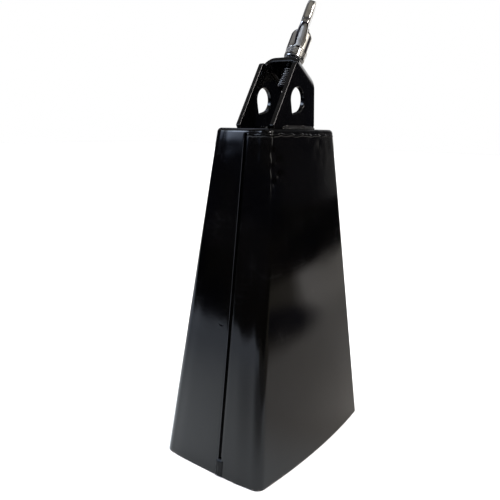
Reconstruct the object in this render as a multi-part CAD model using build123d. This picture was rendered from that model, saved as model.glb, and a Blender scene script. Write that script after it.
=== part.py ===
from build123d import *
import math
import os

# Cowbell: a bell of two lapped sheet halves that stands on its mouth, with a rod bracket and a wing screw.
# Frame: origin at the middle of the mouth, X along the broad width, Y through the narrow depth, +Z up.
# The seams run up the two narrow sides; the front half is the -Y one.

# ---- driving dimensions, millimetres ----
bell_height = 203.0
mouth_width = 127.0
mouth_depth = 73.0
top_width = 76.2
top_depth = 38.6
mouth_corner = 6.9
top_corner = 6.0
mouth_bow = 4.0
top_bow = 0.4
side_bow = 0.7
sheet = 1.4

top_edge_radius = 2.2
lip_depth = 3.4
lip_weld_height = 0.8
groove_top = 2.6
weld_proud = 0.25

seam_at_mouth = -8.2
seam_at_top = -5.0
seam_gap = 2.3
lap_width = 10.0
joggle_overlap = 1.8
lap_clearance = 0.02

end_weld_height = 10.0
end_weld_width = 7.0
end_weld_proud = 0.7
spot_weld_height = 92.0
spot_weld_offset = 6.5
spot_weld_radius = 2.8
spot_dimple = 0.25

plate = 3.0
plate_edge_round = 0.5
plate_round_reach = 5.0
bracket_width = 27.4
bend_radius = 8.0
screw_tilt = 31.0
hole_height = 17.2
hole_radius = 7.3
notch_round = 1.2
web_distance = 23.4
web_setback = -10.2
tab_depth = 5.5
front_edge_tilt = 31.0
front_edge_foot = -26.1
rear_edge_foot = 20.3
rear_edge_tilt = 4.2
rear_corner_radius = 3.0
apex_radius = 1.6
relief_radius = 1.0
foot_chamfer = 2.2

foot_weld_size = 3.2
foot_weld_round = 0.58
foot_weld_start = -16.0
foot_weld_end = 20.0

screw_radius = 3.95
neck_radius = 3.2
neck_length = 9.0
web_hole_radius = 4.0
screw_tip = 7.6
washer_radius = 6.2
washer_bore = 4.0
washer_bottom = 27.9
washer_thickness = 1.5
washer_chamfer = 0.6
tip_chamfer = 0.8
head_gap = 0.05
hub_radius = 6.55
hub_top = 48.3
hub_edge = 3.0
wing_turn = -145.4
wing_thickness = 4.8
wing_root = 34.0
wing_elbow = 16.6
wing_elbow_height = 44.8
wing_elbow_radius = 4.0
wing_reach = 18.2
wing_width = 9.0
wing_tip = 60.6
wing_tip_radius = 4.2
wing_crotch_radius = 1.6
wing_crotch = 0.8

far = 400.0
past = 1.0

hole_z = bell_height + hole_height
hub_bottom = washer_bottom + washer_thickness + head_gap


# ---- the bell's own surface, at any height and any depth under the skin ----
def section(z, inset):
    """Outline of the bell at height z, moved inwards by inset."""
    f = z / bell_height
    hx = (mouth_width + (top_width - mouth_width) * f) / 2 - inset
    hy = (mouth_depth + (top_depth - mouth_depth) * f) / 2 - inset
    bow = mouth_bow + (top_bow - mouth_bow) * f
    corner = mouth_corner + (top_corner - mouth_corner) * f - inset
    with BuildSketch(Plane.XY.offset(z)) as outline:
        with BuildLine():
            ThreePointArc((-hx, -hy), (0, -hy - bow), (hx, -hy))
            ThreePointArc((hx, -hy), (hx + side_bow, 0), (hx, hy))
            ThreePointArc((hx, hy), (0, hy + bow), (-hx, hy))
            ThreePointArc((-hx, hy), (-hx - side_bow, 0), (-hx, -hy))
        make_face()
        fillet(outline.vertices(), radius=corner)
    return outline.sketch


def core(inset, low, high):
    """The bell's solid form between two heights, with its skin moved inwards by inset."""
    return loft([section(low, inset), section(high, inset)], ruled=True)


def layer(outer, inner, low, high):
    """A skin between two depths. The inner form runs past both ends, so the skin is open there."""
    return core(outer, low, high) - core(inner, low - past, high + past)


def seam_y(z):
    return seam_at_mouth + (seam_at_top - seam_at_mouth) * z / bell_height


def behind_seam(offset, low, high):
    """Everything on the +Y side of the seam plane, which is moved along Y by offset."""
    with BuildSketch(Plane.YZ) as side:
        with BuildLine():
            Polyline(
                (seam_y(low) + offset, low),
                (far, low),
                (far, high),
                (seam_y(high) + offset, high),
                close=True,
            )
        make_face()
    return extrude(side.sketch, amount=far, both=True)


def under(height):
    """Everything lower than a height."""
    return Pos(0, 0, height - far / 2) * Box(far, far, far)


# ---- sheet halves ----
lip_low = bell_height - lip_depth
wall_top = lip_low - lip_weld_height
below = -past
above = bell_height + past


def spot_hole(depth):
    """Round plugs through both laps, one on each side of the bell."""
    y = seam_y(spot_weld_height) + spot_weld_offset
    across = Plane(origin=(0, y, spot_weld_height), z_dir=(1, 0, 0))
    plug = across * Cylinder(spot_weld_radius, far)
    return plug & layer(depth, 2 * sheet + lap_clearance, 0, wall_top)


def make_shell_back():
    """The rear half: broad face, both outer flanges, the flat top and the lip in front."""
    form = core(0, 0, bell_height)
    form = fillet(form.faces().sort_by(Axis.Z)[-1].edges(), top_edge_radius)
    form -= core(sheet, below, bell_height - sheet)
    form -= under(lip_low) - behind_seam(seam_gap / 2, below, above)
    groove = behind_seam(-seam_gap / 2, below, above) - behind_seam(seam_gap / 2, below, above)
    groove &= under(bell_height - groove_top) - core(sheet, below, bell_height)
    return form - groove - spot_hole(-past)


def make_shell_front():
    """The front half: its flanges and its top edge step inwards and run on under the rear half."""
    skin = core(0, 0, wall_top) - behind_seam(-seam_gap / 2, below, above)
    tuck_depth = sheet + lap_clearance
    tuck = core(tuck_depth, 0, bell_height - sheet - lap_clearance)
    tuck -= behind_seam(seam_gap / 2 + lap_width, below, above)
    room = core(sheet, below, wall_top - joggle_overlap)
    room -= behind_seam(-seam_gap / 2 - joggle_overlap, below, above)
    return skin + tuck - core(tuck_depth + sheet, below, bell_height) - room - spot_hole(-past)


def make_lip_weld():
    """The line of weld between the lip and the front half, from seam to seam."""
    ring = layer(-weld_proud, sheet, wall_top, lip_low)
    return ring - behind_seam(-seam_gap / 2, below, above)


def make_end_weld(side):
    """The bead that closes a seam at the mouth: it fills the groove and stands proud of it."""
    groove = layer(0, sheet, 0, end_weld_height) & behind_seam(-seam_gap / 2, below, above)
    groove -= behind_seam(seam_gap / 2, below, above)
    cap = layer(-end_weld_proud, 0, 0, end_weld_height)
    cap &= behind_seam(-end_weld_width / 2, below, above)
    cap -= behind_seam(end_weld_width / 2, below, above)
    half = Pos(side * far / 2, 0, 0) * Box(far, far, far)
    return (groove + cap) & half


def make_spot_welds():
    return spot_hole(spot_dimple)


# ---- bracket ----
def screw_point(distance):
    """A point on the screw's axis, at a distance from the rod hole's middle."""
    tilt = math.radians(screw_tilt)
    return (distance * math.sin(tilt), hole_z + distance * math.cos(tilt))


def tilted_point(along, out):
    """A point in the side view: along the web, and out from the rod hole's middle."""
    tilt = math.radians(screw_tilt)
    x, z = screw_point(out)
    return (x + along * math.cos(tilt), z - along * math.sin(tilt))


def meet(foot, lean, out):
    """Where an edge that rises from the foot at a lean meets the plane at a distance out."""
    tilt = math.radians(screw_tilt)
    slope = math.tan(math.radians(lean))
    short = out + hole_height * math.cos(tilt) - foot * math.sin(tilt)
    climb = short / (slope * math.sin(tilt) + math.cos(tilt))
    return (foot + slope * climb, bell_height + climb)


def cheek_outline():
    """Corners in the side view: foot front, tab, relief, web front, shoulder, foot rear."""
    return [
        (front_edge_foot, bell_height),
        meet(front_edge_foot, front_edge_tilt, web_distance - tab_depth),
        tilted_point(web_setback, web_distance - tab_depth),
        tilted_point(web_setback, web_distance),
        meet(rear_edge_foot, -rear_edge_tilt, web_distance),
        (rear_edge_foot, bell_height),
    ]


def corner(sketch, point):
    """The sketch's vertex nearest to a point."""
    return sketch.vertices().sort_by_distance((point[0], point[1], 0))[0]


def side_blank():
    """The bracket seen from the side, as one solid block as wide as the bracket."""
    outline = cheek_outline()
    with BuildSketch(Plane.XZ) as blank:
        with BuildLine():
            Polyline(*outline, close=True)
        make_face()
        for point in (outline[0], outline[5]):
            chamfer(corner(blank, point), foot_chamfer)
        fillet(corner(blank, outline[1]), apex_radius)
        fillet(corner(blank, outline[2]), relief_radius)
        fillet(corner(blank, outline[4]), rear_corner_radius)
    return extrude(blank.sketch, amount=bracket_width / 2, both=True)


def channel():
    """The bent plate's section, square to the screw: a web and two cheeks with round bends."""
    outer = bracket_width / 2
    x0, z0 = screw_point(web_distance)
    tilt = math.radians(screw_tilt)
    frame = Plane(origin=(x0, 0, z0), x_dir=(0, 1, 0), z_dir=(math.cos(tilt), 0, -math.sin(tilt)))
    with BuildSketch(frame) as shape:
        with Locations((0, -far / 2)):
            Rectangle(2 * outer, far)
        fillet(shape.vertices().sort_by(Axis.Y)[-2:], bend_radius)
    with BuildSketch(frame) as room:
        with Locations((0, -far / 2 - plate)):
            Rectangle(2 * (outer - plate), far)
        fillet(room.vertices().sort_by(Axis.Y)[-2:], bend_radius - plate)
    return extrude(shape.sketch, far, both=True) - extrude(room.sketch, far + past, both=True)


def rod_hole():
    """A round hole with a right-angled notch that faces the screw."""
    tilt = math.radians(screw_tilt)
    reach = hole_radius * math.sqrt(2)
    tip = (-reach * math.sin(tilt), hole_z - reach * math.cos(tilt))
    down = math.pi * 1.5 - tilt
    touch = []
    for turn in (-math.pi / 4, math.pi / 4):
        touch.append((hole_radius * math.cos(down + turn), hole_z + hole_radius * math.sin(down + turn)))
    with BuildSketch(Plane.XZ) as notch:
        with BuildLine():
            Polyline((0, hole_z), touch[0], tip, touch[1], close=True)
        make_face()
        fillet(corner(notch, tip), notch_round)
    with BuildSketch(Plane.XZ) as circle:
        with Locations((0, hole_z)):
            Circle(hole_radius)
    return extrude(notch.sketch, far, both=True) + extrude(circle.sketch, far, both=True)


def along_screw(distance):
    """A plane square to the screw's axis, facing out of its head."""
    x, z = screw_point(distance)
    tilt = math.radians(screw_tilt)
    side = (math.cos(tilt), 0, -math.sin(tilt))
    out = (math.sin(tilt), 0, math.cos(tilt))
    return Plane(origin=(x, 0, z), x_dir=side, z_dir=out)


def barrel(radius, start, end):
    """A round bar along the screw's axis, from start to end."""
    return extrude(along_screw(start) * Circle(radius), amount=end - start)


def low_rim(solid):
    """The round edge at a solid's lower end."""
    return solid.edges().filter_by(GeomType.CIRCLE).sort_by(Axis.Z)[0]


def make_bracket():
    screw_hole = barrel(web_hole_radius, web_distance - plate - past, web_distance + past)
    bracket = (side_blank() & channel()) - rod_hole() - screw_hole
    # the edges that hands and rods meet are rounded; those behind the screw hole stay as cut
    fore = [edge for edge in bracket.edges() if edge.center().X < plate_round_reach]
    return fillet(fore, plate_edge_round)


def make_foot_weld(side):
    """A fillet of weld along the outside of one cheek's foot."""
    foot = side * bracket_width / 2
    toe = foot + side * foot_weld_size
    swell = foot_weld_size * foot_weld_round
    top = bell_height + foot_weld_size
    with BuildSketch(Plane.YZ.offset(foot_weld_start)) as bead:
        with BuildLine():
            Line((foot, bell_height), (toe, bell_height))
            ThreePointArc((toe, bell_height), (foot + side * swell, bell_height + swell), (foot, top))
            Line((foot, top), (foot, bell_height))
        make_face()
    return extrude(bead.sketch, foot_weld_end - foot_weld_start)


# ---- wing screw ----
def make_shank():
    bar = barrel(screw_radius, screw_tip, hub_bottom)
    bar = chamfer(low_rim(bar), tip_chamfer)
    return bar + barrel(neck_radius, hub_bottom - past, hub_bottom + neck_length)


def make_washer():
    disc = barrel(washer_radius, washer_bottom, washer_bottom + washer_thickness)
    disc = chamfer(low_rim(disc), washer_chamfer)
    return disc - barrel(washer_bore, washer_bottom - past, hub_bottom + past)


def make_head():
    hub = barrel(hub_radius, hub_bottom, hub_top)
    hub = fillet(hub.edges().filter_by(GeomType.CIRCLE).sort_by(Axis.Z)[-1], hub_edge)
    for turn in (wing_turn, wing_turn + 180):
        hub += along_screw(0) * Rot(0, 0, turn) * wing_plate()
    return hub - barrel(neck_radius, hub_bottom - past, hub_bottom + neck_length)


def wing_plate():
    """One wing in its own frame: X outwards, Z along the screw."""
    crotch = (hub_radius + wing_crotch, hub_top + wing_crotch)
    with BuildSketch(Plane.XZ) as wing:
        with BuildLine():
            Polyline(
                (0, wing_root),
                (hub_radius - past, wing_root),
                (wing_elbow, wing_elbow_height),
                (wing_reach, wing_tip),
                (wing_reach - wing_width, wing_tip),
                crotch,
                (0, hub_top - hub_edge),
                close=True,
            )
        make_face()
        tips = wing.vertices().sort_by(Axis.Y)[-2:]
        fillet(tips, wing_tip_radius)
        fillet(corner(wing, (wing_elbow, wing_elbow_height)), wing_elbow_radius)
        fillet(corner(wing, crotch), wing_crotch_radius)
    return extrude(wing.sketch, amount=wing_thickness / 2, both=True)


def export_all():
    os.makedirs("parts", exist_ok=True)
    pieces = {
        "shell_back": make_shell_back(),
        "shell_front": make_shell_front(),
        "lip_weld": make_lip_weld(),
        "seam_end_weld_left": make_end_weld(-1),
        "seam_end_weld_right": make_end_weld(1),
        "seam_spot_welds": make_spot_welds(),
        "rod_bracket": make_bracket(),
        "bracket_weld_front": make_foot_weld(-1),
        "bracket_weld_back": make_foot_weld(1),
        "wing_head": make_head(),
        "screw_shank": make_shank(),
        "screw_washer": make_washer(),
    }
    for name, piece in pieces.items():
        export_step(piece, os.path.join("parts", name + ".step"))


export_all()
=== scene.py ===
import math

import bpy
from mathutils import Matrix, Vector, noise


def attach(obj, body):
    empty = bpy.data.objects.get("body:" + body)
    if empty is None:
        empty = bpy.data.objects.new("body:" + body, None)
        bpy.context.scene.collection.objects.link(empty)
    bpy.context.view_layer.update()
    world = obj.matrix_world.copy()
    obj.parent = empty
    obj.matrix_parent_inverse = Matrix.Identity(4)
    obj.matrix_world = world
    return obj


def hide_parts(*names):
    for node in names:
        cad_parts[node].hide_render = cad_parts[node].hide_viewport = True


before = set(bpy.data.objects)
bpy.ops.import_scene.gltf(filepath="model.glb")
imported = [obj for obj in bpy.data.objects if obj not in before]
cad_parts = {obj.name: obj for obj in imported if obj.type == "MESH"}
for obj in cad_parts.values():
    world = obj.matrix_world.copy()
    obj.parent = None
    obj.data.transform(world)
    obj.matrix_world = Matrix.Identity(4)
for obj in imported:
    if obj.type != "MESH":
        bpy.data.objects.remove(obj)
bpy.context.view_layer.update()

MM = 0.001

# ---- camera: metres and degrees, in the row frame ----
CAM_AZIMUTH = -53.409
CAM_ELEVATION = 12.46
CAM_ROLL = 1.234
CAM_DISTANCE = 0.334155
CAM_TARGET = Vector((-0.026318, 0.0, 0.130644))
CAM_LENS = 39.55
CAM_SENSOR = 36.0

# ---- the bell, in millimetres, as in the CAD ----
HEIGHT = 203.0
HALF_WIDTH = (63.5, 38.1)
HALF_DEPTH = (36.5, 19.3)
BROAD_BOW = (4.0, 0.4)
SIDE_BOW = 0.7
CORNER = (6.9, 6.0)
EASE_REACH = (10.5, 7.0)
EASE_DEPTH = (0.8, 0.45)
SHEET = 1.4
TOP_ROUND = 2.2
TOP_INSETS = (3.2, 4.6, 6.4, 8.6, 11.0, 13.5, 16.0)
TOP_SAG = 0.12
SEAM = (-8.2, -5.0)
HALF_GAP = 1.15
LIP_LOW = 199.6
WALL_TOP = 198.8
NOTCH_TOP = 200.4
LAP_STEPS = (-3.2, -1.2, 0.8, 4.0, 10.0)
LAP_PLAY = 0.02
SPOT_Z = 92.0
SPOT_OFFSET = 6.5
SPOT_RADIUS = 2.8
PLUG_RADII = (0.9, 1.6, 2.1, 2.4, 2.55, 2.6)
PLUG_SUNK = 0.55
PLUG_DEPTH = 1.2
SLIT_TURNS = (math.radians(-152), math.radians(-28))
SLIT_RISE = 0.85
CUTTER_REACH = 80.0
END_WELD_HEIGHT = 10.4
END_WELD_HALF = 2.7
END_WELD_RISE = 0.62

# ---- the bracket's foot welds, in millimetres ----
CHEEK_FACE = 13.75
FOOT_START = -15.6
FOOT_LENGTH = 35.2
FOOT_HALF = (1.85, 2.3)

# ---- the screw's axis, in millimetres ----
TILT = math.radians(31.0)
HOLE = Vector((0.0, 0.0, 220.2))
AXIS = Vector((math.sin(TILT), 0.0, math.cos(TILT)))
ACROSS = Vector((math.cos(TILT), 0.0, -math.sin(TILT)))
DEEP = Vector((0.0, 1.0, 0.0))
WING_TURN = math.radians(-145.4)
THREAD_PITCH = 1.25
THREAD_DEPTH = 0.68
SCREW_RADIUS = 3.95
SCREW_TIP = 7.6
TIP_RADIUS = 2.9
THREAD_END = 27.6
NECK = (28.2, 34.0)
NECK_RADIUS = 3.2
HUB_RADIUS = 6.55
HUB_BOTTOM = 29.45
HUB_TOP = 48.6
HUB_ROUND = 3.0
CASTING_ALLOWANCE = 0.2


def make_camera():
    """The view's camera, turned by its compass angles and rolled."""
    az, el, roll = (math.radians(v) for v in (CAM_AZIMUTH, CAM_ELEVATION, CAM_ROLL))
    back = Vector((math.sin(az) * math.cos(el), -math.cos(az) * math.cos(el), math.sin(el)))
    right = Vector((math.cos(az), math.sin(az), 0.0))
    up = back.cross(right)
    right_r = right * math.cos(roll) + up * math.sin(roll)
    up_r = up * math.cos(roll) - right * math.sin(roll)
    turn = Matrix((right_r, up_r, back)).transposed().to_4x4()
    data = bpy.data.cameras.new("camera")
    data.lens = CAM_LENS
    data.sensor_width = CAM_SENSOR
    data.clip_start = 0.01
    data.clip_end = 50.0
    cam = bpy.data.objects.new("camera", data)
    bpy.context.scene.collection.objects.link(cam)
    cam.matrix_world = Matrix.Translation(CAM_TARGET + back * CAM_DISTANCE) @ turn
    bpy.context.scene.camera = cam


# ---- node helpers ----
class Tree:
    """Short names for building a node tree."""

    def __init__(self, tree):
        self.tree = tree
        tree.nodes.clear()

    def add(self, kind, **settings):
        node = self.tree.nodes.new(kind)
        for key, value in settings.items():
            setattr(node, key, value)
        return node

    def feed(self, socket, value):
        if isinstance(value, bpy.types.NodeSocket):
            self.tree.links.new(value, socket)
        else:
            socket.default_value = value

    def math(self, operation, a, b=0.0):
        node = self.add("ShaderNodeMath", operation=operation)
        self.feed(node.inputs[0], a)
        self.feed(node.inputs[1], b)
        return node.outputs[0]

    def vector(self, operation, a, b=(0, 0, 0)):
        node = self.add("ShaderNodeVectorMath", operation=operation)
        self.feed(node.inputs[0], a)
        self.feed(node.inputs[1], b)
        return node.outputs["Value" if operation in ("DOT_PRODUCT", "LENGTH") else "Vector"]

    def step(self, value, low, high, to_low=0.0, to_high=1.0):
        """A smooth step of a value, from low to high."""
        node = self.add("ShaderNodeMapRange", interpolation_type="SMOOTHSTEP")
        for name, v in (("Value", value), ("From Min", low), ("From Max", high)):
            self.feed(node.inputs[name], v)
        self.feed(node.inputs["To Min"], to_low)
        self.feed(node.inputs["To Max"], to_high)
        return node.outputs["Result"]

    def mix(self, factor, a, b):
        node = self.add("ShaderNodeMix", data_type="RGBA")
        self.feed(node.inputs[0], factor)
        self.feed(node.inputs[6], a)
        self.feed(node.inputs[7], b)
        return node.outputs[2]

    def stretched(self, vector, scale, turn=(0, 0, 0)):
        node = self.add("ShaderNodeMapping")
        self.feed(node.inputs["Vector"], vector)
        node.inputs["Scale"].default_value = scale
        node.inputs["Rotation"].default_value = turn
        return node.outputs["Vector"]

    def noise(self, vector, scale, detail=2.0, rough=0.5):
        node = self.add("ShaderNodeTexNoise")
        self.feed(node.inputs["Vector"], vector)
        node.inputs["Scale"].default_value = scale
        node.inputs["Detail"].default_value = detail
        node.inputs["Roughness"].default_value = rough
        return node.outputs["Fac"]

    def specks(self, vector, scale, size, share):
        """Small round dots, one in a share of the cells."""
        node = self.add("ShaderNodeTexVoronoi")
        self.feed(node.inputs["Vector"], vector)
        node.inputs["Scale"].default_value = scale
        dot = self.step(node.outputs["Distance"], size, size * 0.5)
        split = self.add("ShaderNodeSeparateColor")
        self.feed(split.inputs[0], node.outputs["Color"])
        chosen = self.math("GREATER_THAN", split.outputs[0], 1.0 - share)
        return self.math("MULTIPLY", dot, chosen)

    def scratches(self, vector, scale, turn, width):
        """Long thin lines, broken by a slow noise."""
        lines = self.add("ShaderNodeTexVoronoi", feature="DISTANCE_TO_EDGE")
        self.feed(lines.inputs["Vector"], self.stretched(vector, scale, turn))
        lines.inputs["Scale"].default_value = 1.0
        line = self.step(lines.outputs["Distance"], width, width * 0.3)
        gate = self.step(self.noise(vector, 45.0, 1.0), 0.52, 0.62)
        return self.math("MULTIPLY", line, gate)

    def bump(self, height, distance, strength=1.0, normal=None):
        node = self.add("ShaderNodeBump")
        node.inputs["Strength"].default_value = strength
        node.inputs["Distance"].default_value = distance
        self.feed(node.inputs["Height"], height)
        if normal is not None:
            self.feed(node.inputs["Normal"], normal)
        return node.outputs["Normal"]


class Finish(Tree):
    """A material with one Principled shader."""

    def __init__(self, name, **fixed):
        self.mat = bpy.data.materials.new(name)
        self.mat.use_nodes = True
        super().__init__(self.mat.node_tree)
        out = self.add("ShaderNodeOutputMaterial")
        self.bsdf = self.add("ShaderNodeBsdfPrincipled")
        self.feed(out.inputs["Surface"], self.bsdf.outputs["BSDF"])
        for key, value in fixed.items():
            self.bsdf.inputs[key.replace("_", " ")].default_value = value
        self.place = self.add("ShaderNodeTexCoord").outputs["Object"]

    def set(self, name, value):
        self.feed(self.bsdf.inputs[name], value)


BLACK = (0.0005, 0.0005, 0.0007, 1)
WARM_BLACK = (0.0012, 0.0011, 0.0010, 1)
HAIRLINE = (0.03, 0.03, 0.032, 1)
# colour of the painted highlight along the seam's cut edge
SEAM_HIGHLIGHT = (0.022, 0.023, 0.026, 1)
DUST = (0.16, 0.155, 0.15, 1)
BARE_STEEL = (0.09, 0.08, 0.072, 1)
SCALE_DARK = (0.002, 0.002, 0.002, 1)
SCALE_LIGHT = (0.013, 0.0105, 0.009, 1)
SCALE_PAINTED = (0.006, 0.006, 0.007, 1)
GRIT = (0.22, 0.21, 0.20, 1)
ROOT_AND_TIP_DARK = (0.015, 0.015, 0.018, 1)


def seam_edge_highlight(n, split):
    """A painted highlight: a thin light line along the rear half's cut edge, broken by a slow noise."""
    climb = n.math("MULTIPLY", split.outputs["Z"], (SEAM[1] - SEAM[0]) / HEIGHT)
    off = n.math("SUBTRACT", n.math("SUBTRACT", split.outputs["Y"], climb), (SEAM[0] + HALF_GAP) * MM)
    line = n.math("MULTIPLY", n.step(off, 0.55 * MM, 0.35 * MM), n.step(off, 0.05 * MM, 0.2 * MM))
    line = n.math("MULTIPLY", line, n.step(split.outputs["Z"], LIP_LOW * MM, (LIP_LOW - 4.6) * MM))
    return n.math("MULTIPLY", line, n.step(n.noise(n.place, 60.0, 2.0), 0.2, 0.6, 0.3, 1.0))


def lacquer(name, peel, dust_share, wear_height, gloss=(0.07, 0.13), ior=1.4, seam_highlight=False):
    """Gloss black enamel with orange peel, dust in the paint, hairlines and a worn lower rim, and where
    asked a painted highlight along the seam's cut edge.
    """
    n = Finish(name, IOR=ior)
    dust = n.specks(n.place, 170.0, 0.045, dust_share)
    hair = n.scratches(n.place, (150, 150, 14), (0.35, 0.2, 0.5), 0.012)
    hair_2 = n.scratches(n.place, (26, 26, 170), (0.9, 0.3, 0.2), 0.012)
    hairs = n.math("MAXIMUM", hair, hair_2)
    split = n.add("ShaderNodeSeparateXYZ")
    n.feed(split.inputs[0], n.place)
    low = n.step(split.outputs["Z"], wear_height, wear_height * 0.3)
    chips = n.math("MULTIPLY", low, n.step(n.noise(n.place, 420.0, 4.0), 0.56, 0.62))
    colour = n.mix(n.step(n.noise(n.place, 30.0), 0.35, 0.65), BLACK, WARM_BLACK)
    colour = n.mix(n.math("MULTIPLY", hairs, 0.12), colour, HAIRLINE)
    colour = n.mix(dust, colour, DUST)
    if seam_highlight:
        # painted highlight: a lighter line along the rear half's cut edge
        colour = n.mix(seam_edge_highlight(n, split), colour, SEAM_HIGHLIGHT)
    n.set("Base Color", n.mix(chips, colour, BARE_STEEL))
    rough = n.step(n.noise(n.place, 22.0, 3.0), 0.3, 0.7, *gloss)
    rough = n.math("ADD", rough, n.math("MULTIPLY", n.math("MAXIMUM", dust, chips), 0.4))
    n.set("Roughness", n.math("ADD", rough, n.math("MULTIPLY", hairs, 0.05)))
    orange_peel = n.bump(n.noise(n.place, 520.0, 1.0), peel)
    grain = n.bump(n.math("SUBTRACT", dust, n.math("MULTIPLY", hairs, 0.25)), 0.03 * MM, 0.5, orange_peel)
    n.set("Normal", n.bump(chips, -0.08 * MM, 0.6, grain))
    return n.mat


def burnt_weld():
    """The brackets' foot beads: scaly, dull and only thinly painted."""
    n = Finish("burnt_weld", IOR=1.3)
    scale = n.noise(n.place, 620.0, 4.0, 0.75)
    patch = n.noise(n.place, 320.0, 3.0)
    colour = n.mix(n.step(scale, 0.46, 0.6), SCALE_DARK, SCALE_LIGHT)
    colour = n.mix(n.step(patch, 0.5, 0.6), colour, SCALE_PAINTED)
    grit = n.specks(n.place, 900.0, 0.34, 0.14)
    n.set("Base Color", n.mix(grit, colour, GRIT))
    n.set("Roughness", n.step(patch, 0.3, 0.7, 0.75, 0.4))
    n.set("Normal", n.bump(scale, 0.4 * MM))
    return n.mat


def thread_darkening(n):
    """Darker colour in the thread's roots and on the screw's tip."""
    from_hole = n.vector("SUBTRACT", n.place, tuple(HOLE * MM))
    along = n.vector("DOT_PRODUCT", from_hole, tuple(AXIS))
    off_axis = n.vector("LENGTH", n.vector("CROSS_PRODUCT", from_hole, tuple(AXIS)))
    root = n.step(off_axis, (SCREW_RADIUS - 0.12) * MM, (SCREW_RADIUS - 0.45) * MM)
    root = n.math("MULTIPLY", root, n.step(along, THREAD_END * MM, (THREAD_END - 0.4) * MM))
    tip = n.step(along, (SCREW_TIP + 0.8) * MM, (SCREW_TIP + 0.3) * MM)
    return n.math("MAXIMUM", root, tip)


def plated(name, colour, dull, rough, grain_scale, dark_roots_and_tip=False):
    """Bright plate over a casting: polishing lines, fine pits and slight stains."""
    n = Finish(name, Metallic=1.0)
    stain = n.step(n.noise(n.place, 190.0, 4.0), 0.45, 0.7)
    tone = n.mix(stain, colour, dull)
    if dark_roots_and_tip:
        # darker in the thread's roots and on the screw's tip
        tone = n.mix(thread_darkening(n), tone, ROOT_AND_TIP_DARK)
    n.set("Base Color", tone)
    lines = n.noise(n.stretched(n.place, grain_scale, (0, TILT, 0)), 1.0, 3.0)
    pits = n.specks(n.place, 700.0, 0.14, 0.08)
    value = n.step(lines, 0.3, 0.7, rough * 0.75, rough * 1.3)
    n.set("Roughness", n.math("ADD", value, n.math("MULTIPLY", stain, 0.08)))
    ground = n.bump(lines, 0.012 * MM, 0.5)
    n.set("Normal", n.bump(pits, -0.03 * MM, 0.5, ground))
    return n.mat


# ---- mesh helpers ----
def lerp(pair, f):
    return pair[0] + (pair[1] - pair[0]) * f


def smooth(value):
    v = min(max(value, 0.0), 1.0)
    return v * v * (3 - 2 * v)


def steps(low, high, count):
    return [low + (high - low) * i / (count - 1) for i in range(count)]


def grid_faces(rows, columns, closed=False, start=0):
    faces = []
    for r in range(rows - 1):
        for c in range(columns if closed else columns - 1):
            a = start + r * columns + c
            b = start + r * columns + (c + 1) % columns
            faces.append((a, b, b + columns, a + columns))
    return faces


def closed_grid(rows, sides):
    """Faces of a tube of rows, with a cap over each end."""
    end = (rows - 1) * sides
    caps = [tuple(reversed(range(sides))), tuple(range(end, end + sides))]
    return grid_faces(rows, sides, closed=True) + caps


def turned_over(faces):
    return [tuple(reversed(face)) for face in faces]


def make_piece(name, points, faces, body, slot, finish):
    """A piece from points in millimetres that rides on a body of the frame."""
    mesh = bpy.data.meshes.new(name)
    mesh.from_pydata([tuple(v * MM for v in p) for p in points], [], faces)
    mesh.validate()
    mesh.materials.append(finish)
    piece = bpy.data.objects.new(name, mesh)
    bpy.context.scene.collection.objects.link(piece)
    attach(piece, body)
    return piece


def freeze(piece, sharp=40.0):
    """Applies the piece's modifiers and smooths its shading up to an angle in degrees."""
    bpy.context.view_layer.update()
    graph = bpy.context.evaluated_depsgraph_get()
    mesh = bpy.data.meshes.new_from_object(piece.evaluated_get(graph))
    piece.modifiers.clear()
    old = piece.data
    piece.data = mesh
    bpy.data.meshes.remove(old)
    mesh.shade_smooth()
    mesh.set_sharp_from_angle(angle=math.radians(sharp))


def modify(piece, kind, **settings):
    modifier = piece.modifiers.new(kind.lower(), kind)
    for key, value in settings.items():
        setattr(modifier, key, value)


# ---- the bell's skin ----
def seam_y(z):
    """The middle of the seam's groove at a height."""
    return lerp(SEAM, z / HEIGHT)


def arc_radius(half, bow):
    return (half * half + bow * bow) / (2 * bow)


def front_quarter(z, inset):
    """The -X-Y quarter's corner at height z: side arc, corner centre and broad arc."""
    f = z / HEIGHT
    hx, hy = lerp(HALF_WIDTH, f) - inset, lerp(HALF_DEPTH, f) - inset
    bow = lerp(BROAD_BOW, f)
    radius = max(lerp(CORNER, f) - inset, 0.6)
    broad, narrow = arc_radius(hx, bow), arc_radius(hy, SIDE_BOW)
    b = Vector((0, broad - hy - bow))
    n = Vector((narrow - hx - SIDE_BOW, 0))
    # the corner's centre lies where the two arcs, moved in by its radius, cross
    gap = (b - n).length
    reach_b, reach_n = broad - radius, narrow - radius
    along = (reach_b**2 - reach_n**2 + gap**2) / (2 * gap)
    off = math.sqrt(max(reach_b**2 - along**2, 0.0))
    way = (n - b) / gap
    side = Vector((-way.y, way.x))
    options = [b + way * along + side * off * s for s in (1, -1)]
    centre = min(options, key=lambda p: p.x + p.y)
    return b, broad, n, narrow, centre, radius


def side_reach(y, z, inset=0.0):
    """How far from the middle the narrow side's face lies at a place."""
    _, _, n, narrow, _, _ = front_quarter(z, inset)
    return math.sqrt(narrow**2 - y**2) - n.x


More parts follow.
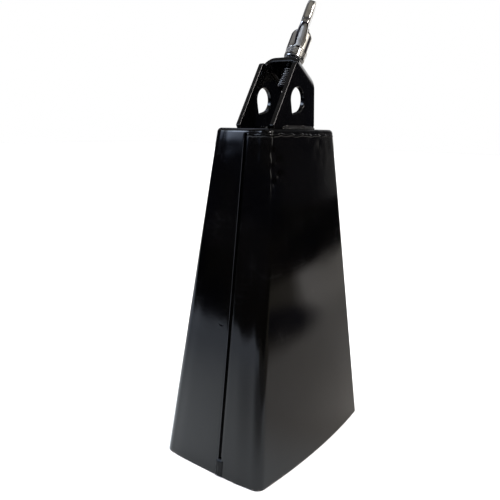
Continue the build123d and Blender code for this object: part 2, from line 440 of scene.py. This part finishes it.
def flank(z, inset, edge, counts, ease_reach, ease_depth):
    """One end of the front half's outline: from the -X edge round the corner, which eases into the side."""
    b, broad, n, narrow, centre, radius = front_quarter(z, inset)
    touch_n = (centre - n).normalized() * narrow + n
    touch_b = (centre - b).normalized() * broad + b
    easing = ease_depth * smooth(1 - inset / 3)
    points = []
    for y in steps(edge, touch_n.y, counts[0]):
        ease = easing * smooth(1 - (y - touch_n.y) / ease_reach)
        points.append(Vector((n.x - math.sqrt(narrow**2 - y**2) + ease, y)))
    start = math.atan2(*(touch_n - centre).yx)
    end = math.atan2(*(touch_b - centre).yx)
    if end < start:
        end += 2 * math.pi
    for t in steps(start, end, counts[1])[1:]:
        ease = easing * smooth((end - t) / (end - start))
        points.append(centre + Vector((math.cos(t) * radius + ease, math.sin(t) * radius)))
    return points


def half_ring(z, inset, edge, counts):
    """The front half's outline at height z, from the -X edge round to the +X edge."""
    b, broad, _, _, _, _ = front_quarter(z, inset)
    left, far_side = (flank(z, inset, edge, counts, *pair) for pair in zip(EASE_REACH, EASE_DEPTH))
    middle = []
    for x in steps(left[-1].x, -left[-1].x, counts[2])[1:-1]:
        middle.append(Vector((x, b.y - math.sqrt(broad**2 - x**2))))
    return left + middle + [Vector((-p.x, p.y)) for p in reversed(far_side)]


# points along an outline's narrow side, round its corner and across its broad side
WALL_COUNTS = (16, 15, 66)
LIP_COUNTS = (26, 16, 110)


def ring(z, inset, edge, front, counts):
    """A half outline, always counter-clockwise seen from above."""
    if front:
        return half_ring(z, inset, edge, counts)
    return [Vector((-p.x, -p.y)) for p in half_ring(z, inset, -edge, counts)]


# slow and quick waves of the sheet, as height and length, with those of the pressed top
WAVES = ((0.05, 31.0), (0.012, 9.0))
TOP_WAVE = (0.07, 6.5)
DRAWN_IN = 0.36
CORNER_LINES = 0.012
GRINDING_RIPPLE = 0.022

# dents at the top of the front: x, z, half width, half height, lean and depth
DENTS = (
    (-34.0, 189.5, 2.4, 3.2, 1.6, 0.55),
    (-29.5, 184.5, 2.6, 3.6, 1.8, 0.75),
    (-34.5, 181.0, 2.2, 2.8, -0.8, 0.50),
    (-28.5, 177.0, 2.8, 3.4, 1.9, 0.80),
    (-33.5, 172.5, 2.6, 2.8, 1.4, 0.60),
    (16.0, 194.5, 0.7, 1.8, -0.9, 0.14),
)


def ripple_over_spot(p, z):
    """The fine ripple that grinding the plug weld left round it."""
    y, up = p.y - seam_y(z) - SPOT_OFFSET, z - SPOT_Z
    near_spot = math.exp(-(y**2 + up**2) / 8)
    if near_spot < 0.02:
        return 0.0
    return GRINDING_RIPPLE * near_spot * math.cos(up * 3.4 + y * 0.6)


def dent_depth(p, z):
    total = 0.0
    for x, height, wide, high, lean, depth in DENTS:
        u, v = p.x - x, z - height
        u, v = u * math.cos(lean) + v * math.sin(lean), v * math.cos(lean) - u * math.sin(lean)
        reach = (u / wide) ** 2 + (v / high) ** 2
        if reach < 9:
            total += depth * math.exp(-reach)
    return total


def unevenness(p, z):
    """How far the sheet stands off its true form at a place, outwards, in millimetres."""
    at = Vector((p.x, p.y, z))
    out = sum(height * noise.noise(at / length) for height, length in WAVES)
    height, length = TOP_WAVE
    out += smooth((z - 168) / 28) * height * noise.noise(at / length)
    sideways = abs(p.x) / lerp(HALF_WIDTH, z / HEIGHT)
    # the pressed top draws the narrow sides in
    drawn_in = DRAWN_IN * (max(min(z, 201.0) - 194.0, 0.0) / 7.0) ** 2
    out -= smooth((sideways - 0.93) / 0.06) * drawn_in
    # drawing lines up the corners
    lines = noise.noise(Vector((p.x / 1.5 + z * 0.16, p.y / 1.5, z / 60)))
    out += smooth((sideways - 0.84) / 0.1) * CORNER_LINES * lines
    out += ripple_over_spot(p, z)
    if p.y < -10:
        out -= dent_depth(p, z)
    return out


def worked(points, z):
    """An outline with the sheet's unevenness."""
    moved = []
    last = len(points) - 1
    for i, p in enumerate(points):
        along = points[min(i + 1, last)] - points[max(i - 1, 0)]
        out = Vector((along.y, -along.x)).normalized()
        moved.append(p + out * unevenness(p, z))
    return moved


def wall(rows, edge_offset, front):
    """Points and faces of one half's wall between two heights."""
    points = []
    for z in rows:
        outline = worked(ring(z, 0.0, seam_y(z) + edge_offset, front, WALL_COUNTS), z)
        points += [(p.x, p.y, z) for p in outline]
    return points, grid_faces(len(rows), len(points) // len(rows))


def levels(low, high, pitch):
    return steps(low, high, max(int((high - low) / pitch), 2))


def lap_strip(side, rows):
    """The stepped edge of the front half, which runs on under the rear half."""
    points = []
    for z in rows:
        for along in LAP_STEPS:
            y = seam_y(z) + along
            points.append((side * side_reach(y, z, SHEET + LAP_PLAY), y, z))
    faces = grid_faces(len(rows), len(LAP_STEPS))
    return points, faces if side > 0 else turned_over(faces)


def add_parts(parts):
    points, faces = [], []
    for more_points, more_faces in parts:
        start = len(points)
        points += more_points
        faces += [tuple(i + start for i in face) for face in more_faces]
    return points, faces


def thicken(piece, bevel=0.4):
    """Gives a skin the sheet's thickness, inwards, and rounds its cut edges."""
    modify(piece, "SOLIDIFY", thickness=SHEET * MM, offset=-1.0, use_even_offset=True)
    modify(piece, "BEVEL", width=bevel * MM, segments=3, limit_method="ANGLE", angle_limit=math.radians(50))


def make_shell_front(finish):
    rows = levels(0.0, 150.0, 2.0)[:-1] + levels(150.0, WALL_TOP, 1.1)
    strip_rows = levels(0.2, HEIGHT - 3.5, 4.0)
    parts = [wall(rows, -HALF_GAP, True)]
    parts += [lap_strip(side, strip_rows) for side in (-1, 1)]
    piece = make_piece("front_half", *add_parts(parts), "bell", "bell_paint", finish)
    thicken(piece, 0.12)
    freeze(piece)
    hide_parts("shell_front")


def cap_rings():
    """Heights and insets from the lip's lower edge, round the top edge and in over the flat top."""
    rows = [(z, 0.0) for z in (LIP_LOW, 199.9, 200.1, NOTCH_TOP)]
    for t in steps(0.0, math.pi / 2, 9):
        rows.append((HEIGHT - TOP_ROUND * (1 - math.sin(t)), TOP_ROUND * (1 - math.cos(t))))
    return rows + [(HEIGHT, inset) for inset in TOP_INSETS]


def make_cap():
    """The lip, the rounded top edge and the flat top, as one skin."""
    points = []
    rows = cap_rings()
    for z, inset in rows:
        front = ring(z, inset, seam_y(z) - HALF_GAP, True, WALL_COUNTS)
        rear = ring(z, inset, seam_y(z) + HALF_GAP, False, WALL_COUNTS)
        flat = inset > TOP_ROUND
        outline = front + rear
        if not flat:
            outline = worked(front, z) + worked(rear, z)
        sag = TOP_SAG * smooth((inset - 3) / 10) if flat else 0.0
        points += [(p.x, p.y, z - sag) for p in outline]
    columns = len(points) // len(rows)
    faces = grid_faces(len(rows), columns, closed=True)
    # the seam stays open up to the notch's top
    notch_rows = [z for z, _ in rows].index(NOTCH_TOP)
    seams = (columns // 2 - 1, columns - 1)
    kept = [f for i, f in enumerate(faces) if i // columns >= notch_rows or i % columns not in seams]
    last = (len(rows) - 1) * columns
    kept.append(tuple(range(last, last + columns)))
    return points, kept


def spot_centre(side):
    """Where a plug weld's hole meets the skin."""
    y = seam_y(SPOT_Z) + SPOT_OFFSET
    return Vector((side * side_reach(y, SPOT_Z), y, SPOT_Z))


def crescent():
    """The outline of the gap at the lower edge of a plug weld's hole."""
    y, z = spot_centre(1).yz
    start, end = SLIT_TURNS
    turns = steps(start, end, 14)
    outline = []
    for t in turns:
        low = SPOT_RADIUS * math.sin(t) - 0.12 * math.cos(t)
        outline.append((y + SPOT_RADIUS * math.cos(t), z + low))
    for t in reversed(turns[1:-1]):
        rise = SLIT_RISE * math.sin((t - start) / (end - start) * math.pi)
        outline.append((y + SPOT_RADIUS * math.cos(t), z + SPOT_RADIUS * math.sin(t) + rise))
    return outline


def slit(piece):
    """Cuts the crescent that a plug weld leaves open, through both narrow sides."""
    outline = crescent()
    ends = (-CUTTER_REACH, CUTTER_REACH)
    points = [(x * MM, y * MM, z * MM) for x in ends for y, z in outline]
    mesh = bpy.data.meshes.new("slit")
    mesh.from_pydata(points, [], closed_grid(2, len(outline)))
    cutter = bpy.data.objects.new("slit", mesh)
    bpy.context.scene.collection.objects.link(cutter)
    modify(piece, "BOOLEAN", operation="DIFFERENCE", object=cutter, solver="EXACT")
    freeze(piece)
    bpy.data.objects.remove(cutter)
    bpy.data.meshes.remove(mesh)


def make_shell_back(finish):
    rows = levels(0.0, LIP_LOW, 2.0)
    parts = [wall(rows, HALF_GAP, False), make_cap()]
    piece = make_piece("rear_half", *add_parts(parts), "bell", "bell_paint", finish)
    modify(piece, "WELD", merge_threshold=0.01 * MM)
    thicken(piece)
    freeze(piece)
    slit(piece)
    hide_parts("shell_back")


# ---- weld beads ----
def tube(centres, outs, ups, sizes, sides=12):
    """A closed bead along centres, with its half sizes along outs and ups at each."""
    points = []
    for centre, out, up, (wide, high) in zip(centres, outs, ups, sizes):
        for i in range(sides):
            t = 2 * math.pi * i / sides
            points.append(tuple(centre + out * wide * math.cos(t) + up * high * math.sin(t)))
    return points, closed_grid(len(centres), sides)


def make_lip_weld(finish):
    middle = (WALL_TOP + LIP_LOW) / 2
    outline = half_ring(middle, 0.0, seam_y(middle) - HALF_GAP + 0.3, LIP_COUNTS)
    centres, outs, sizes = [], [], []
    last = len(outline) - 1
    for i, p in enumerate(outline):
        along = (outline[min(i + 1, last)] - outline[max(i - 1, 0)]).normalized()
        out = Vector((along.y, -along.x, 0))
        at = Vector((p.x, p.y, 0))
        wander = 0.95 * noise.noise(at / 7.5) + 0.4 * noise.noise(at / 2.8)
        swell = 1.0 + 0.8 * noise.noise(at / 3.1 + Vector((7, 0, 0)))
        swell *= 1 - 0.7 * smooth((p.x - 2) / 14)
        centres.append(Vector((p.x, p.y, middle + wander)) - out * 0.3)
        outs.append(out)
        sizes.append((0.40 + 0.12 * swell, 0.75 + 0.3 * swell))
    ups = [Vector((0, 0, 1))] * len(centres)
    piece = make_piece("lip_bead", *tube(centres, outs, ups, sizes), "bell", "bell_paint", finish)
    freeze(piece, 70)
    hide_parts("lip_weld")


def end_weld_points(side, rows, columns):
    """A lumpy front, then a back 1 mm under the skin."""
    points = []
    for back in (False, True):
        for r in range(rows):
            f = r / (rows - 1)
            z = 0.05 + END_WELD_HEIGHT * f
            mound = smooth((1 - f) / 0.16) * smooth(f / 0.05 + 0.4)
            wobble = 0.25 * noise.noise(Vector((side * 3.0, z / 2.2, 0)))
            for u in steps(-1, 1, columns):
                y = seam_y(z) + u * (END_WELD_HALF + wobble) + wobble
                skin = side_reach(y, z)
                lump = 0.3 * noise.noise(Vector((y / 1.5, z / 1.9, side * 5.0)))
                rise = (0.56 + lump) * mound * math.sqrt(max(1 - abs(u) ** 3, 0.0))
                x = skin - 1.0 if back else skin - 0.3 + 0.3 * mound + min(rise, END_WELD_RISE)
                points.append((side * x, y, z))
    return points


def make_end_weld(name, node, side, finish):
    """The bead over a seam's end at the mouth: a lumpy run that sinks into the skin at its edges."""
    rows, columns = 30, 22
    size = rows * columns
    faces = grid_faces(rows, columns) + turned_over(grid_faces(rows, columns, start=size))
    rim = [r * columns for r in range(rows)]
    rim += [(rows - 1) * columns + c for c in range(1, columns)]
    rim += [r * columns + columns - 1 for r in reversed(range(rows - 1))]
    rim += list(reversed(range(1, columns - 1)))
    for a, b in zip(rim, rim[1:] + rim[:1]):
        faces.append((a, b, b + size, a + size))
    if side < 0:
        faces = turned_over(faces)
    points = end_weld_points(side, rows, columns)
    piece = make_piece(name, points, faces, "bell", "bell_paint", finish)
    freeze(piece, 60)
    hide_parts(node)


def plug(side, sides=36):
    """One plug: a domed face with its middle point, then its wall and a flat back."""
    centre = spot_centre(side)
    points = [tuple(centre + Vector((side * 0.02, 0, 0.25)))]
    turns = [2 * math.pi * i / sides for i in range(sides)]
    for radius in PLUG_RADII:
        for t in turns:
            y, z = radius * math.cos(t), radius * math.sin(t) * 0.93 + 0.22
            sunk = PLUG_SUNK + smooth((radius - 1.2) / 1.4) * 0.3
            sunk += 0.04 * noise.noise(Vector((y, z, side * 9.0)))
            # the narrow side leans in as it rises
            lean = -0.125 * z
            points.append(tuple(centre + Vector((side * (lean - sunk), y, z))))
    points += [(x - side * PLUG_DEPTH, y, z) for x, y, z in points[-sides:]]
    rings = len(PLUG_RADII) + 1
    faces = [(0, 1 + i, 1 + (i + 1) % sides) for i in range(sides)]
    faces += turned_over(grid_faces(rings, sides, closed=True, start=1))
    end = 1 + (rings - 1) * sides
    faces.append(tuple(reversed(range(end, end + sides))))
    return points, faces if side > 0 else turned_over(faces)


def make_spot_welds(finish):
    """Plugs of weld in the rear half's holes: ground nearly flush above, sunk at the lower edge."""
    points, faces = add_parts([plug(side) for side in (-1, 1)])
    piece = make_piece("plug_welds", points, faces, "bell", "bell_paint", finish)
    freeze(piece, 60)
    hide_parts("seam_spot_welds")


def make_foot_weld(name, node, side, finish):
    """A rippled bead along the outside of one cheek's foot."""
    rows = 110
    centres, sizes = [], []
    half_turn = math.sqrt(0.5)
    out = Vector((0, side * half_turn, half_turn))
    up = Vector((0, -side * half_turn, half_turn))
    for f in steps(0.0, 1.0, rows):
        x = FOOT_START + FOOT_LENGTH * f
        taper = math.sqrt(max(1 - abs(2 * f - 1) ** 9, 0.02))
        ripple = 0.16 * abs(math.sin(x * 1.45 + 1.1 * noise.noise(Vector((x / 5, side, 0)))))
        at = Vector((x / 2.6, side * 4.0, 0))
        swell = 0.30 * noise.noise(at)
        centres.append(Vector((x, side * CHEEK_FACE, HEIGHT + 0.05)) + up * 0.3 * noise.noise(at * 0.6))
        sizes.append(((FOOT_HALF[0] + ripple + swell) * taper, (FOOT_HALF[1] + 0.25 * swell) * taper))
    points, faces = tube(centres, [out] * rows, [up] * rows, sizes, 26)
    rough = []
    for p in points:
        at = Vector(p)
        push = 0.16 * noise.noise(at / 0.9) + 0.1 * noise.noise(at / 0.45)
        rough.append(tuple(at + out * push))
    piece = make_piece(name, rough, faces, "bell", "weld_steel", finish)
    freeze(piece, 80)
    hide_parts(node)


# ---- the wing screw ----
def on_axis(distance, radius, turn):
    """A point round the screw's axis."""
    return HOLE + AXIS * distance + (ACROSS * math.cos(turn) + DEEP * math.sin(turn)) * radius


def lathe(profile, sides):
    """A turned form round the screw's axis, from pairs of distance and radius, closed at both ends."""
    points = []
    for distance, radius in profile:
        for i in range(sides):
            points.append(tuple(on_axis(distance, radius, 2 * math.pi * i / sides)))
    return points, closed_grid(len(profile), sides)


def thread_radius(distance, turn):
    """The thread's radius: flats at crest and root, and a tapered start at the tip."""
    phase = (distance / THREAD_PITCH - turn / (2 * math.pi)) % 1.0
    tooth = min(max(abs(phase - 0.5) * 2.6 - 0.12, 0.0), 1.0)
    full = SCREW_RADIUS - THREAD_DEPTH * tooth
    lead = smooth((distance - SCREW_TIP) / 1.3)
    return min(full, TIP_RADIUS + lead * (SCREW_RADIUS - TIP_RADIUS))


def make_shank(finish):
    sides, pitch = 48, 0.085
    rows = int((THREAD_END - SCREW_TIP) / pitch)
    points = []
    for distance in steps(SCREW_TIP, THREAD_END, rows):
        for i in range(sides):
            turn = 2 * math.pi * i / sides
            points.append(tuple(on_axis(distance, thread_radius(distance, turn), turn)))
    neck, _ = lathe([(distance, NECK_RADIUS) for distance in NECK], sides)
    faces = closed_grid(rows + len(NECK), sides)
    piece = make_piece("threaded_shank", points + neck, faces, "wing_screw", "plated_screw", finish)
    freeze(piece, 75)
    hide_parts("screw_shank")


def collar_profile():
    """The hub's foot, with three turned grooves."""
    profile = [(HUB_BOTTOM, 3.4), (HUB_BOTTOM, 6.0)]
    profile += [(HUB_BOTTOM + 0.12, 6.35), (HUB_BOTTOM + 0.4, HUB_RADIUS)]
    for groove in (30.7, 31.9, 33.1):
        for shift, depth in ((-0.3, 0.0), (-0.16, 0.2), (0.0, 0.28), (0.16, 0.2), (0.3, 0.0)):
            profile.append((groove + shift, HUB_RADIUS - depth))
    return profile + [(34.2, HUB_RADIUS), (34.3, 5.6)]


def hub_profile():
    """The cast hub above its foot: a plain barrel with a rounded top."""
    cast_radius = HUB_RADIUS + CASTING_ALLOWANCE
    profile = [(33.9, 5.4), (34.0, cast_radius)]
    profile += [(s, cast_radius) for s in steps(35.0, HUB_TOP - HUB_ROUND, 8)]
    for t in steps(0.0, math.pi / 2, 9)[1:]:
        along = HUB_TOP - HUB_ROUND + HUB_ROUND * math.sin(t)
        profile.append((along, HUB_RADIUS - HUB_ROUND + HUB_ROUND * math.cos(t)))
    return profile + [(HUB_TOP + 0.1, 2.0), (HUB_TOP + 0.12, 0.4)]


# one wing in the side view, as distance out and along the axis, with its half thickness there
# the rows of the two edges belong together, from root to tip
WING_OUTER = (
    (5.2, 33.2, 1.6),
    (7.6, 34.6, 2.6),
    (10.4, 37.4, 3.3),
    (13.2, 40.3, 3.3),
    (15.7, 42.9, 2.95),
    (16.9, 44.3, 2.65),
    (17.25, 45.3, 2.5),
    (16.85, 45.7, 2.8),
    (17.4, 48.4, 2.9),
    (17.9, 53.0, 2.9),
    (18.3, 57.0, 2.85),
    (17.9, 59.6, 2.7),
    (16.4, 60.8, 2.5),
    (14.3, 61.1, 2.3),
)
WING_INNER = (
    (1.0, 36.5, 2.6),
    (3.0, 39.0, 3.0),
    (5.0, 42.0, 3.2),
    (6.2, 44.4, 3.1),
    (7.0, 45.9, 2.9),
    (7.5, 46.9, 2.8),
    (7.6, 47.9, 2.7),
    (7.7, 49.2, 2.8),
    (7.9, 51.0, 2.9),
    (8.4, 54.0, 2.9),
    (8.9, 57.2, 2.8),
    (9.6, 59.4, 2.6),
    (11.2, 60.9, 2.4),
    (13.0, 61.1, 2.3),
)


def wing_mesh(turn):
    """A wing as rows of closed loops across its width, rounded at both edges."""
    out_way = ACROSS * math.cos(turn) + DEEP * math.sin(turn)
    flat_way = DEEP * math.cos(turn) - ACROSS * math.sin(turn)
    points = []
    loop = 20
    for outer, inner in zip(WING_OUTER, WING_INNER):
        for i in range(loop):
            t = 2 * math.pi * i / loop
            across = math.copysign(abs(math.cos(t)) ** 0.5, math.cos(t))
            thick = math.copysign(abs(math.sin(t)) ** 0.5, math.sin(t))
            f = (across + 1) / 2
            reach, along, half = (lerp(pair, f) for pair in zip(inner, outer))
            points.append(tuple(HOLE + AXIS * along + out_way * reach + flat_way * half * thick))
    return points, closed_grid(len(WING_OUTER), loop)


def make_head(finish):
    """The die-cast head: hub and wings grown together, on a turned foot."""
    parts = [lathe(hub_profile(), 64), wing_mesh(WING_TURN), wing_mesh(WING_TURN + math.pi)]
    piece = make_piece("wing_casting", *add_parts(parts), "wing_screw", "plated_casting", finish)
    modify(piece, "REMESH", mode="VOXEL", voxel_size=0.3 * MM)
    modify(piece, "SMOOTH", factor=0.5, iterations=5)
    freeze(piece, 80)
    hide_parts("wing_head")
    foot = make_piece("head_foot", *lathe(collar_profile(), 72), "wing_screw", "plated_casting", finish)
    freeze(foot, 35)


# ---- floor and light ----
FLOOR_HALF = 5.0
FLOOR_Z = -0.0002
FLOOR_SEEN = (0.86, 0.86, 0.86, 1)
# the floor's colour in mirror reflections is painted reflection: a painted dark past the table's end, tones
# with a painted pool of light near the bell, and a painted shade
TABLE_END = (-0.62, -0.48)
TABLE_END_SLANT = (-1.03, -0.72)
COOL_NEAR, COOL_FAR = (0.90, 0.96, 1.0, 1), (0.45, 0.50, 0.58, 1)
WARM_LEFT, WARM_RIGHT = (0.46, 0.44, 0.415, 1), (0.29, 0.275, 0.25, 1)
SHADE = (0.075, 0.068, 0.050, 1)

# painted shade patches on the table, seen only in mirror reflections: x, y, stretch along each, softness,
# share and colour
PAINTED_SHADE_PATCHES = (
    (0.27, -0.31, 9.5, 11.0, 0.5, 1.0, (0.004, 0.005, 0.012, 1)),
    (-0.31, -0.2, 4.0, 4.0, 0.5, 0.8, (0.10, 0.10, 0.10, 1)),
    (0.28, -0.09, 4.4, 6.0, 0.6, 0.42, (0.05, 0.048, 0.043, 1)),
    (-0.22, 0.27, 4.5, 4.5, 0.6, 0.2, (0.05, 0.055, 0.06, 1)),
)


def painted_table_end(n, x, y):
    """Where the table is, against the dark room past its ends: a painted reflection that darkens the
    floor's mirror colour past them.
    """
    far_side = n.math("SUBTRACT", x, n.math("MULTIPLY", n.math("SUBTRACT", y, 0.36), 0.4))
    end_x = n.step(far_side, *TABLE_END)
    slant = n.math("ADD", y, n.math("MULTIPLY", x, -0.5))
    end_y = n.step(slant, *TABLE_END_SLANT)
    return n.math("MULTIPLY", n.math("MULTIPLY", end_x, end_y), n.step(y, *TABLE_END))


def painted_reflection_tone(n, x, y):
    """The painted reflection of the room on the table: cool on the -X side, warm on the other, the cool
    side lighter near the bell as a painted pool of light, with a painted shade and painted shade patches.
    """
    # painted pool of light: the cool side is lighter near the bell
    away = n.vector("LENGTH", n.place)
    cool = n.mix(n.step(away, 0.12, 0.5), COOL_NEAR, COOL_FAR)
    turn = n.math("ADD", x, n.math("MULTIPLY", y, 1.5))
    warm = n.mix(n.step(turn, -0.1, 0.25), WARM_LEFT, WARM_RIGHT)
    tone = n.mix(n.step(x, -0.09, 0.03), cool, warm)
    # painted shade in the reflection, on the warm side past y -0.19
    side = n.math("ADD", y, n.math("MULTIPLY", x, 0.8))
    shade = n.math("MULTIPLY", n.step(y, -0.19, -0.27), n.step(side, 0.03, -0.05))
    tone = n.mix(n.math("MULTIPLY", shade, 0.92), tone, SHADE)
    # painted shade patches, seen only in mirror reflections
    for px, py, sx, sy, soft, share, colour in PAINTED_SHADE_PATCHES:
        offset = n.vector("MULTIPLY", n.vector("SUBTRACT", n.place, (px, py, 0)), (sx, sy, 0))
        patch = n.step(n.vector("LENGTH", offset), 1.0 + soft, 1.0 - soft)
        tone = n.mix(n.math("MULTIPLY", patch, share), tone, colour)
    return tone


def make_floor():
    """A pale table. In mirror reflections its colour is a painted reflection of the room: an end, cooler
    and warmer parts, a painted pool of light near the bell and painted shade patches.
    """
    n = Finish("pale_floor", Roughness=0.9)
    n.bsdf.inputs["Specular IOR Level"].default_value = 0.0
    split = n.add("ShaderNodeSeparateXYZ")
    n.feed(split.inputs[0], n.place)
    x, y = split.outputs["X"], split.outputs["Y"]
    # painted reflection: the room's light and shade painted into the colour that mirror rays see
    painted_reflection = n.vector("SCALE", painted_reflection_tone(n, x, y))
    n.feed(painted_reflection.node.inputs["Scale"], painted_table_end(n, x, y))
    path = n.add("ShaderNodeLightPath")
    n.set("Base Color", n.mix(path.outputs["Is Glossy Ray"], FLOOR_SEEN, painted_reflection))
    mesh = bpy.data.meshes.new("floor")
    corners = [(x * FLOOR_HALF, y * FLOOR_HALF, FLOOR_Z) for x, y in ((-1, -1), (1, -1), (1, 1), (-1, 1))]
    mesh.from_pydata(corners, [], [(0, 1, 2, 3)])
    mesh.materials.append(n.mat)
    floor = bpy.data.objects.new("floor", mesh)
    bpy.context.scene.collection.objects.link(floor)


def compass(azimuth, elevation):
    """A direction in the row frame: azimuth 0 is -Y, and 90 is +X."""
    az, el = math.radians(azimuth), math.radians(elevation)
    return (math.sin(az) * math.cos(el), -math.cos(az) * math.cos(el), math.sin(el))


ROOM_LOW, ROOM_HIGH = (0.02, 0.02, 0.03, 1), (0.06, 0.062, 0.07, 1)

# soft light panels in the room: azimuth, elevation, inner and outer half angle, colour
PANELS = (
    (-6, 36, 6, 9, (34.0, 31.5, 31.0)),
    (38, 36, 14, 20, (1.7, 1.65, 1.55)),
    (94, 9, 12, 22, (1.5, 1.5, 1.5)),
    (76, 5, 4, 16, (0.30, 0.29, 0.27)),
    (-172, 46, 14, 26, (0.20, 0.195, 0.19)),
    (-130, 31, 4, 11, (6.0, 7.0, 8.8)),
    (-143, 29, 4, 10, (4.0, 4.7, 5.8)),
    (-136, 22, 4, 13, (1.9, 2.2, 2.8)),
    (26, 12, 4, 9, (1.6, 1.55, 1.45)),
    (18, 24, 4, 10, (2.4, 2.3, 2.1)),
    (-123, 16, 2, 8, (0.24, 0.30, 0.44)),
    (-133, 16, 2, 8, (0.34, 0.42, 0.62)),
    (-141, 17, 2, 8, (0.34, 0.42, 0.62)),
    (-50, 64, 16, 26, (0.24, 0.23, 0.20)),
    (150, 60, 12, 24, (0.5, 0.55, 0.7)),
)


def make_world():
    """A white backdrop for the camera, and the dim room with its light panels for everything else."""
    world = bpy.data.worlds.new("studio")
    bpy.context.scene.world = world
    world.use_nodes = True
    n = Tree(world.node_tree)
    out = n.add("ShaderNodeOutputWorld")
    way = n.add("ShaderNodeTexCoord").outputs["Generated"]
    split = n.add("ShaderNodeSeparateXYZ")
    n.feed(split.inputs[0], way)
    room = n.mix(n.step(split.outputs["Z"], 0.16, 0.5), ROOM_LOW, ROOM_HIGH)
    for azimuth, elevation, inner, outer, colour in PANELS:
        near = n.vector("DOT_PRODUCT", way, compass(azimuth, elevation))
        shape = n.step(near, math.cos(math.radians(outer)), math.cos(math.radians(inner)))
        glow = n.vector("SCALE", colour)
        n.feed(glow.node.inputs["Scale"], shape)
        room = n.vector("ADD", room, glow)
    light = n.add("ShaderNodeBackground")
    n.feed(light.inputs["Color"], room)
    seen = n.add("ShaderNodeBackground")
    mix = n.add("ShaderNodeMixShader")
    n.feed(mix.inputs[0], n.add("ShaderNodeLightPath").outputs["Is Camera Ray"])
    n.feed(mix.inputs[1], light.outputs[0])
    n.feed(mix.inputs[2], seen.outputs[0])
    seen.inputs["Color"].default_value = (1, 1, 1, 1)
    n.feed(out.inputs["Surface"], mix.outputs[0])


def make_sun():
    """Wide, even light from overhead that lights the floor and stays out of the mirror reflections."""
    data = bpy.data.lights.new("overhead", "SUN")
    data.energy = 4.1
    data.angle = math.radians(70)
    lamp = bpy.data.objects.new("overhead", data)
    bpy.context.scene.collection.objects.link(lamp)
    lamp.visible_glossy = False


make_camera()

bell_paint = lacquer("bell_enamel", 0.0045 * MM, 0.035, 1.2 * MM, seam_highlight=True)
bracket_paint = lacquer("bracket_enamel", 0.010 * MM, 0.02, 0.1 * MM)
bead_paint = lacquer("bead_enamel", 0.03 * MM, 0.03, 0.1 * MM, gloss=(0.12, 0.2))
end_paint = lacquer("end_bead_enamel", 0.04 * MM, 0.03, 0.1 * MM, gloss=(0.3, 0.45), ior=1.27)
scale_weld = burnt_weld()
nickel = plated("bright_nickel", (0.62, 0.60, 0.57, 1), (0.42, 0.39, 0.35, 1), 0.13, (900, 900, 60))
zinc = plated("bright_zinc", (0.46, 0.455, 0.45, 1), (0.32, 0.315, 0.31, 1), 0.2, (90, 90, 600), dark_roots_and_tip=True)

make_shell_front(bell_paint)
make_shell_back(bell_paint)
make_lip_weld(bead_paint)
make_end_weld("end_bead_left", "seam_end_weld_left", -1, end_paint)
make_end_weld("end_bead_right", "seam_end_weld_right", 1, end_paint)
make_spot_welds(bell_paint)
make_foot_weld("foot_bead_front", "bracket_weld_front", -1, scale_weld)
make_foot_weld("foot_bead_back", "bracket_weld_back", 1, scale_weld)
make_shank(zinc)
make_head(nickel)

for name, finish in (("rod_bracket", bracket_paint), ("screw_washer", zinc)):
    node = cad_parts[name]
    node.data.materials.clear()
    node.data.materials.append(finish)
    modify(node, "WELD", merge_threshold=0.002 * MM)

make_floor()
make_world()
make_sun()
bpy.context.scene.view_settings.view_transform = "Standard"
